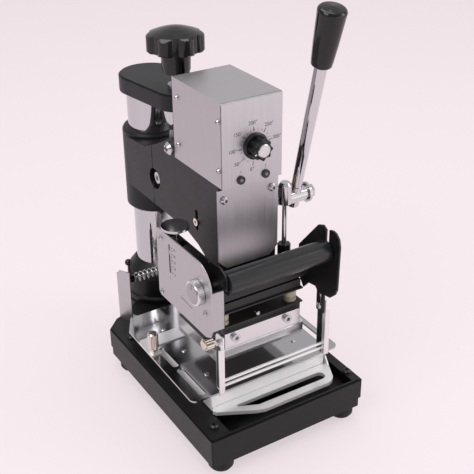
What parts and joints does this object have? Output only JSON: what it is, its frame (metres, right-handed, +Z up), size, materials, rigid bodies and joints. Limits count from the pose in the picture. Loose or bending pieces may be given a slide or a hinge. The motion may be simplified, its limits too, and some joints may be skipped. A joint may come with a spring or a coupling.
{
  "type": "hot foil stamping press",
  "caption": "Bench hot foil stamping press with a column, a height-adjusted heated head, a side lever, a foil roller and feed unit, and a pull-out worktable.",
  "frame": {"origin": "centre of the base's footprint, on the standing surface under the rubber feet", "axes": "+Z up; -Y is the operator's side with the dial, foil roller and table handle; +X is the side of the lever"},
  "size_m": [0.1905, 0.331, 0.4516],
  "materials": {
    "black_casting": "crackle black paint on cast iron",
    "grey_casting": "dark grey hammered paint on cast iron",
    "dark_steel": "black oxide",
    "black_sheet": "satin black paint on sheet steel",
    "foot_rubber": "matt",
    "black_screw": "black oxide",
    "column_chrome": "hard chrome, polished",
    "lever_chrome": "bright chrome",
    "bright_rod": "bright chrome",
    "bright_strip": "bright drawn",
    "plain_steel": "ground",
    "zinc_plate": "zinc plated",
    "screw_steel": "nickel plated",
    "spring_wire": "drawn wire",
    "brushed_sheet": "brushed stainless sheet",
    "lamp_plastic": "dark grey lens in a black ring",
    "inner_plastic": "moulded",
    "black_plastic": "moulded",
    "black_gloss": "glossy moulded",
    "bush_bronze": "sintered bronze",
    "brass_trim": "nickel-washed brass",
    "die_dark": "dark heat-proof facing",
    "mica_board": "pressed mica",
    "ceramic": "glazed ceramic",
    "heater_alloy": "black, heat dulled",
    "polished_alloy": "polished",
    "table_alloy": "satin anodised",
    "mirror_plate": "mirror polished",
    "roller_black": "smooth rubber sleeve"
  },
  "bodies": {
    "base": {"base_casting": "black_casting", "base_plate": "dark_steel", "rubber_feet": "foot_rubber", "base_screws": "black_screw", "column_socket": "black_casting", "column": "column_chrome", "top_cap": "grey_casting", "slide_rails": "plain_steel", "spring_post": "zinc_plate", "guide_spring": "spring_wire"},
    "head": {"head_casting": "grey_casting", "elevating_nut": "zinc_plate", "control_box": "brushed_sheet", "dial_panel": "brushed_sheet", "panel_screws": "screw_steel", "front_cover": "brushed_sheet", "indicator_lamps": "lamp_plastic", "thermostat": "inner_plastic", "cable_gland": "black_plastic", "shaft_bushes": "bush_bronze", "clamp_screw": "screw_steel", "gib_screw": "brass_trim", "feed_plate_left": "black_sheet", "feed_plate_right": "black_sheet", "feed_cover": "brushed_sheet", "foil_strips": "bright_strip", "foil_rods": "bright_strip", "feed_bracket": "dark_steel", "stop_post": "bright_rod", "stop_knob": "black_plastic", "spring_hanger": "zinc_plate", "return_spring": "spring_wire"},
    "ram": {"ram": "plain_steel", "mount_plate": "dark_steel", "insulation_sheets": "mica_board", "spacers": "ceramic", "heater_block": "heater_alloy", "heater_cartridges": "plain_steel"},
    "holder": {"type_holder": "polished_alloy", "die_plate": "die_dark", "holder_screws": "screw_steel"},
    "holder_clamp": {"type_clamp": "brass_trim"},
    "lever": {"pinion_shaft": "plain_steel", "lever_hub": "bright_rod", "lever_rod": "lever_chrome", "lever_grip": "black_gloss", "hub_bolt": "screw_steel"},
    "height_screw": {"star_knob": "black_gloss", "lead_screw": "plain_steel"},
    "dial": {"dial_knob": "black_plastic"},
    "foil_roller": {"foil_roller": "roller_black"},
    "feed_knob": {"feed_knob": "polished_alloy"},
    "push_disc": {"push_disc": "bright_rod"},
    "worktable": {"table_block": "table_alloy", "table_plate": "mirror_plate", "plate_screws": "screw_steel", "pull_handle": "bright_strip"},
    "card_stop": {"card_stop": "bright_strip"},
    "thumb_nut": {"thumb_nut": "brass_trim"},
    "ball_lever": {"ball_lever": "black_gloss"}
  },
  "joints": [
    {"name": "head_height", "type": "slide", "parent": "base", "child": "head", "axis": [0, 0, 1], "range_m": [-0.003, 0.012]},
    {"name": "height_knob", "type": "hinge", "parent": "base", "child": "height_screw", "pos_m": [0, 0.0555, 0.353], "axis": [0, 0, 1], "range_deg": [-2165, 545]},
    {"name": "lever_turn", "type": "hinge", "parent": "head", "child": "lever", "pos_m": [0, -0.0645, 0.239], "axis": [1, 0, 0], "range_deg": [0, 85]},
    {"name": "ram_stroke", "type": "slide", "parent": "head", "child": "ram", "axis": [0, 0, -1], "range_m": [0, 0.0201], "stiffness_N_per_m": 1500, "springref_m": -0.055, "deforming": ["return_spring"]},
    {"name": "holder_slide", "type": "slide", "parent": "ram", "child": "holder", "axis": [0, -1, 0], "range_m": [0, 0.016]},
    {"name": "holder_clamp_turn", "type": "hinge", "parent": "ram", "child": "holder_clamp", "pos_m": [-0.05, -0.1025, 0.121], "axis": [-1, 0, 0], "range_deg": [0, 360]},
    {"name": "dial_turn", "type": "hinge", "parent": "head", "child": "dial", "pos_m": [0.003, -0.0935, 0.321], "axis": [0, -1, 0], "range_deg": [-210, 90]},
    {"name": "roller_turn", "type": "hinge", "parent": "head", "child": "foil_roller", "pos_m": [0, -0.1375, 0.21], "axis": [1, 0, 0], "continuous": true},
    {"name": "feed_knob_turn", "type": "hinge", "parent": "head", "child": "feed_knob", "pos_m": [-0.076, -0.1145, 0.195], "axis": [-1, 0, 0], "range_deg": [-150, 150]},
    {"name": "push_disc_press", "type": "slide", "parent": "head", "child": "push_disc", "axis": [0, 0, -1], "range_m": [0, 0.0075], "stiffness_N_per_m": 300, "springref_m": -0.01},
    {"name": "table_slide", "type": "slide", "parent": "base", "child": "worktable", "axis": [0, -1, 0], "range_m": [0, 0.06]},
    {"name": "card_stop_slide", "type": "slide", "parent": "worktable", "child": "card_stop", "axis": [0, -1, 0], "range_m": [-0.003, 0.018]},
    {"name": "thumb_nut_turn", "type": "hinge", "parent": "card_stop", "child": "thumb_nut", "pos_m": [-0.085, -0.0245, 0.078], "axis": [0, 0, 1], "range_deg": [-360, 360]},
    {"name": "ball_lever_turn", "type": "hinge", "parent": "base", "child": "ball_lever", "pos_m": [-0.061, 0.0745, 0.108], "axis": [1, 0, 0], "range_deg": [-30, 60]}
  ],
  "couplings": [
    {"joint": "height_knob", "follows": "head_height", "rad_per_m": -3141.6},
    {"joint": "ram_stroke", "follows": "lever_turn", "m_per_rad": 0.0135}
  ]
}
